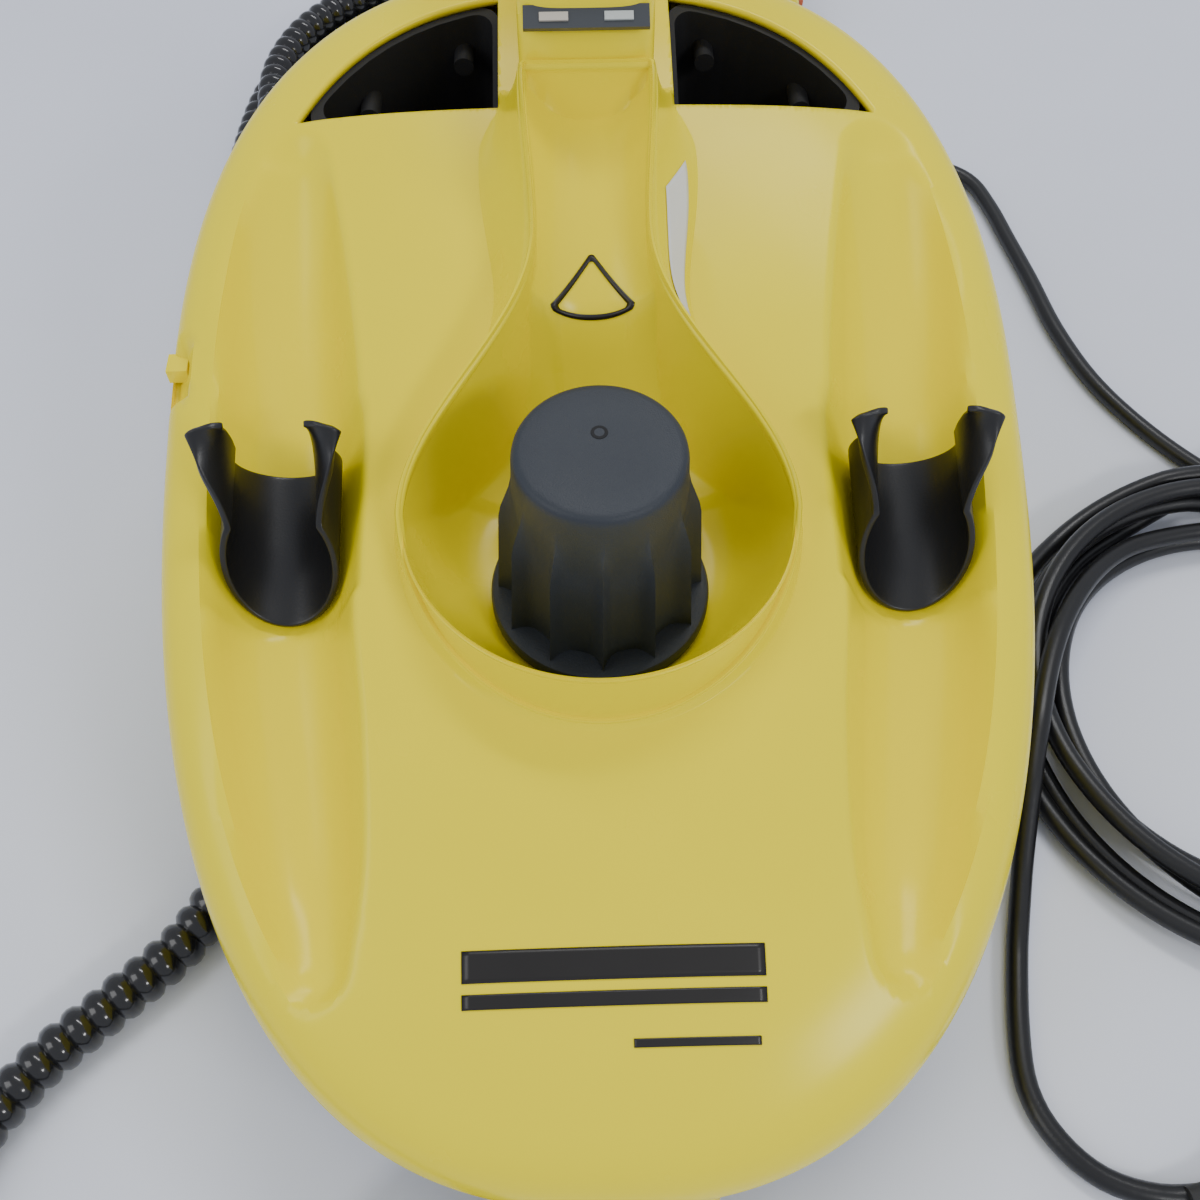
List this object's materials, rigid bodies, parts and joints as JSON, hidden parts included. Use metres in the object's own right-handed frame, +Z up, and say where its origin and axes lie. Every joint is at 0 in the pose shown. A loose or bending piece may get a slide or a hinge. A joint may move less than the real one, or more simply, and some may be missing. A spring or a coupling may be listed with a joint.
{
  "type": "canister steam cleaner",
  "caption": "Compact canister steam cleaner with a screw-capped filler bowl, rear carry handle, side tube clips, corrugated steam hose with trigger gun, and a coiled mains lead.",
  "frame": {"origin": "On the floor, under the middle of the body, about 10 mm behind the bowl's centre", "axes": "+X to the cleaner's right seen from behind the front, +Y to the rear, +Z up"},
  "size_m": [0.553, 0.8266, 0.26],
  "materials": {
    "casing_yellow": "gloss injection-moulded plastic",
    "dark_grey": "satin",
    "dark_grey_gloss": "gloss",
    "orange_lens": "translucent lens",
    "green_lens": "translucent lens",
    "green_board": "circuit board",
    "slate_black": "fine grain",
    "satin_black": "satin",
    "matt_black": "matt",
    "soft_black": "soft rubber",
    "lead_black": "satin sheath",
    "hose_black": "gloss corrugated sheath",
    "brass": "machined",
    "copper": "drawn tube",
    "cast_alloy": "die cast",
    "steel": "plated",
    "felt": "needled felt",
    "cream": "ceramic look",
    "red_wire": "silicone sheath",
    "orange_plastic": "gloss",
    "paper": "paper label, blank"
  },
  "bodies": {
    "body": {"base_tray": "dark_grey", "upper_housing": "casing_yellow", "funnel_bowl": "casing_yellow", "handle_cover": "casing_yellow", "handle_underside": "casing_yellow", "handle_grip": "soft_black", "lamp_window": "dark_grey_gloss", "lamp_heating": "orange_lens", "lamp_ready": "green_lens", "lamp_board": "green_board", "tube_clip_left": "satin_black", "tube_clip_right": "satin_black", "storage_tray_left": "matt_black", "storage_tray_right": "matt_black", "hose_cover": "casing_yellow", "hose_gland": "soft_black", "steam_pipe": "copper", "boiler_lower": "cast_alloy", "boiler_upper": "cast_alloy", "boiler_gasket": "soft_black", "boiler_screws": "steel", "filler_neck": "brass", "boiler_jacket": "felt", "heating_element": "steel", "control_thermostat": "matt_black", "safety_cutout": "cream", "terminal_block": "cream", "inner_wires": "red_wire", "rear_axle": "steel", "cord_grip": "soft_black", "mains_lead": "lead_black", "lead_coil": "lead_black", "lead_tail": "lead_black", "plug_body": "satin_black", "plug_blades": "brass", "steam_hose": "hose_black", "hose_coil": "hose_black", "hose_tail": "hose_black", "hose_sleeve": "soft_black", "gun_shell_upper": "casing_yellow", "gun_shell_lower": "satin_black", "gun_trigger_pin": "steel", "gun_nozzle": "satin_black", "side_hook": "casing_yellow", "paper_sticker": "paper", "housing_screws": "steel"},
    "cap_ring": {"cap_seal": "soft_black"},
    "cap": {"cap_knob": "slate_black", "cap_plug": "brass", "cap_spring": "steel"},
    "left_wheel": {"wheel_left": "satin_black", "hub_cap_left": "dark_grey"},
    "right_wheel": {"wheel_right": "satin_black", "hub_cap_right": "dark_grey"},
    "caster": {"caster_fork": "dark_grey", "caster_axle": "steel"},
    "caster_roller": {"caster_wheel": "satin_black"},
    "trigger": {"gun_trigger": "satin_black"},
    "lock": {"gun_lock": "orange_plastic"}
  },
  "joints": [
    {"name": "cap_lift", "type": "slide", "parent": "body", "child": "cap_ring", "axis": [0, 0, 1], "range_m": [0, 0.0121]},
    {"name": "cap_turn", "type": "hinge", "parent": "cap_ring", "child": "cap", "pos_m": [0, -0.022, 0.109], "axis": [0, 0, 1], "range_deg": [0, 1080]},
    {"name": "left_wheel_spin", "type": "hinge", "parent": "body", "child": "left_wheel", "pos_m": [-0.098, 0.128, 0.03], "axis": [1, 0, 0], "continuous": true},
    {"name": "right_wheel_spin", "type": "hinge", "parent": "body", "child": "right_wheel", "pos_m": [0.098, 0.128, 0.03], "axis": [1, 0, 0], "continuous": true},
    {"name": "caster_swivel", "type": "hinge", "parent": "body", "child": "caster", "pos_m": [0, -0.118, 0.03], "axis": [0, 0, 1], "continuous": true},
    {"name": "caster_roll", "type": "hinge", "parent": "caster", "child": "caster_roller", "pos_m": [0, -0.11, 0.01], "axis": [1, 0, 0], "continuous": true},
    {"name": "trigger_squeeze", "type": "hinge", "parent": "body", "child": "trigger", "pos_m": [0.084, 0.437, 0.018], "axis": [0, 0, 1], "range_deg": [0, 12], "stiffness_Nm_per_rad": 0.5, "springref_deg": -2.86},
    {"name": "gun_lock_slide", "type": "slide", "parent": "body", "child": "lock", "axis": [0, -1, 0], "range_m": [0, 0.0055]}
  ],
  "couplings": [
    {"joint": "cap_lift", "follows": "cap_turn", "m_per_rad": 0.00063662}
  ]
}
